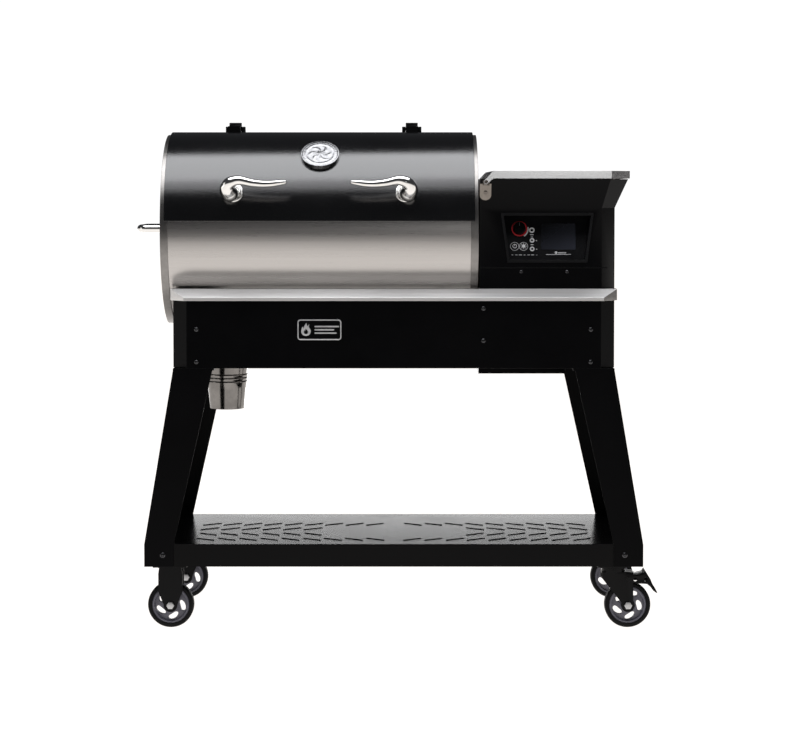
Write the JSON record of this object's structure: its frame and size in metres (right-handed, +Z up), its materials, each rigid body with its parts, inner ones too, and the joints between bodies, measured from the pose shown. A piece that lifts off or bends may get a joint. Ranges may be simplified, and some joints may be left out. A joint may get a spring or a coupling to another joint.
{
  "type": "pellet smoker grill",
  "caption": "Barrel pellet smoker grill with a hinged lid, side hopper with a controller, drain pail, and a splay-legged cart on casters.",
  "frame": {"origin": "on the floor under the middle of the whole grill's bounding box", "axes": "+X to the hopper's end (the right, seen from the front), +Y to the back, +Z up"},
  "size_m": [1.304, 0.5654, 1.26],
  "materials": {
    "black_steel": "satin powder coat",
    "stainless": "brushed",
    "chrome": "polished",
    "medallion": "cast relief, satin",
    "galvanised": "dull zinc",
    "fire_steel": "heat-darkened steel",
    "tyre": "solid polyurethane",
    "wheel_core": "moulded",
    "black_plastic": "fine grain",
    "screen_glass": "glossy",
    "button_white": "printed"
  },
  "bodies": {
    "cart": {"front_skirt": "black_steel", "rear_skirt": "black_steel", "side_skirts": "black_steel", "front_ledge": "stainless", "barrel_saddles": "galvanised", "legs": "black_steel", "bottom_shelf": "black_steel", "cart_screws": "black_steel", "badge_plate": "black_steel", "undertray": "black_steel", "left_caster_forks": "black_steel", "swivel_plates": "black_steel", "barrel_shell": "stainless", "end_caps": "stainless", "exhaust_hood": "black_steel", "side_handle": "chrome", "lid_hinge_brackets": "black_steel", "fire_pot": "fire_steel", "igniter_rod": "fire_steel", "heat_deflector": "fire_steel", "drip_pan": "fire_steel", "cooking_grates": "stainless", "temperature_probe": "stainless", "grease_spout": "galvanised", "auger_tube": "galvanised", "auger_motor": "galvanised", "blower_housing": "galvanised", "controller_bezel": "black_plastic", "controller_face": "black_plastic", "display_screen": "screen_glass", "probe_jacks": "button_white", "hopper_cabinet": "black_steel", "power_inlet": "black_plastic", "hopper_bin": "galvanised", "hopper_grille": "galvanised", "hopper_hinge_tabs": "stainless"},
    "barrel_lid": {"barrel_lid": "black_steel", "lid_medallion": "medallion", "horn_handles": "chrome", "lid_hinge_leaves": "black_steel"},
    "hopper_lid": {"hopper_lid": "stainless"},
    "control_knob": {"control_knob": "black_plastic"},
    "power_button": {"power_button": "button_white"},
    "light_button": {"light_button": "button_white"},
    "auger": {"auger_screw": "galvanised"},
    "blower_wheel": {"blower_wheel": "black_plastic"},
    "bucket_bail": {"bucket_bail": "stainless"},
    "grease_bucket": {"grease_bucket": "stainless"},
    "wheel_front_left": {"wheel_core_front_left": "wheel_core", "tyre_front_left": "tyre"},
    "swivel_front": {"swivel_fork_front": "black_steel"},
    "pedal_front": {"brake_pedal_front": "black_steel"},
    "wheel_front_right": {"wheel_core_front_right": "wheel_core", "tyre_front_right": "tyre"},
    "wheel_rear_left": {"wheel_core_rear_left": "wheel_core", "tyre_rear_left": "tyre"},
    "swivel_rear": {"swivel_fork_rear": "black_steel"},
    "pedal_rear": {"brake_pedal_rear": "black_steel"},
    "wheel_rear_right": {"wheel_core_rear_right": "wheel_core", "tyre_rear_right": "tyre"}
  },
  "joints": [
    {"name": "lid_hinge", "type": "hinge", "parent": "cart", "child": "barrel_lid", "pos_m": [-0.184, 0.08133, 1.244], "axis": [-1, 0, 0], "range_deg": [0, 110]},
    {"name": "hopper_lid_hinge", "type": "hinge", "parent": "cart", "child": "hopper_lid", "pos_m": [0.224, -0.00067, 1.106], "axis": [0, -1, 0], "range_deg": [0, 58]},
    {"name": "knob_turn", "type": "hinge", "parent": "cart", "child": "control_knob", "pos_m": [0.309, -0.17932, 0.99], "axis": [0, -0.9511, 0.309], "continuous": true},
    {"name": "power_press", "type": "slide", "parent": "cart", "child": "power_button", "axis": [0, 0.9511, -0.309], "range_m": [0, 0.0015], "stiffness_N_per_m": 400},
    {"name": "light_press", "type": "slide", "parent": "cart", "child": "light_button", "axis": [0, 0.9511, -0.309], "range_m": [0, 0.0015], "stiffness_N_per_m": 400},
    {"name": "auger_turn", "type": "hinge", "parent": "cart", "child": "auger", "pos_m": [0.198, 0.01133, 0.805], "axis": [1, 0, 0], "continuous": true},
    {"name": "blower_spin", "type": "hinge", "parent": "cart", "child": "blower_wheel", "pos_m": [0.263, 0.01133, 0.706], "axis": [1, 0, 0], "continuous": true},
    {"name": "bail_swing", "type": "hinge", "parent": "cart", "child": "bucket_bail", "pos_m": [-0.431, 0.01133, 0.697], "axis": [1, 0, 0], "range_deg": [-10, 10]},
    {"name": "bucket_tilt", "type": "hinge", "parent": "bucket_bail", "child": "grease_bucket", "pos_m": [-0.431, 0.01133, 0.64], "axis": [1, 0, 0], "range_deg": [-15, 15]},
    {"name": "front_left_roll", "type": "hinge", "parent": "cart", "child": "wheel_front_left", "pos_m": [-0.556, -0.19367, 0.057], "axis": [0, 1, 0], "continuous": true},
    {"name": "front_swivel", "type": "hinge", "parent": "cart", "child": "swivel_front", "pos_m": [0.544, -0.19367, 0.14], "axis": [0, 0, 1], "continuous": true},
    {"name": "front_right_roll", "type": "hinge", "parent": "swivel_front", "child": "wheel_front_right", "pos_m": [0.579, -0.19367, 0.057], "axis": [0, 1, 0], "continuous": true},
    {"name": "front_brake", "type": "hinge", "parent": "swivel_front", "child": "pedal_front", "pos_m": [0.581, -0.19367, 0.127], "axis": [0, 1, 0], "range_deg": [0, 12]},
    {"name": "rear_left_roll", "type": "hinge", "parent": "cart", "child": "wheel_rear_left", "pos_m": [-0.556, 0.20833, 0.057], "axis": [0, 1, 0], "continuous": true},
    {"name": "rear_swivel", "type": "hinge", "parent": "cart", "child": "swivel_rear", "pos_m": [0.544, 0.20833, 0.14], "axis": [0, 0, 1], "continuous": true},
    {"name": "rear_right_roll", "type": "hinge", "parent": "swivel_rear", "child": "wheel_rear_right", "pos_m": [0.579, 0.20833, 0.057], "axis": [0, 1, 0], "continuous": true},
    {"name": "rear_brake", "type": "hinge", "parent": "swivel_rear", "child": "pedal_rear", "pos_m": [0.581, 0.20833, 0.127], "axis": [0, 1, 0], "range_deg": [0, 12]}
  ]
}
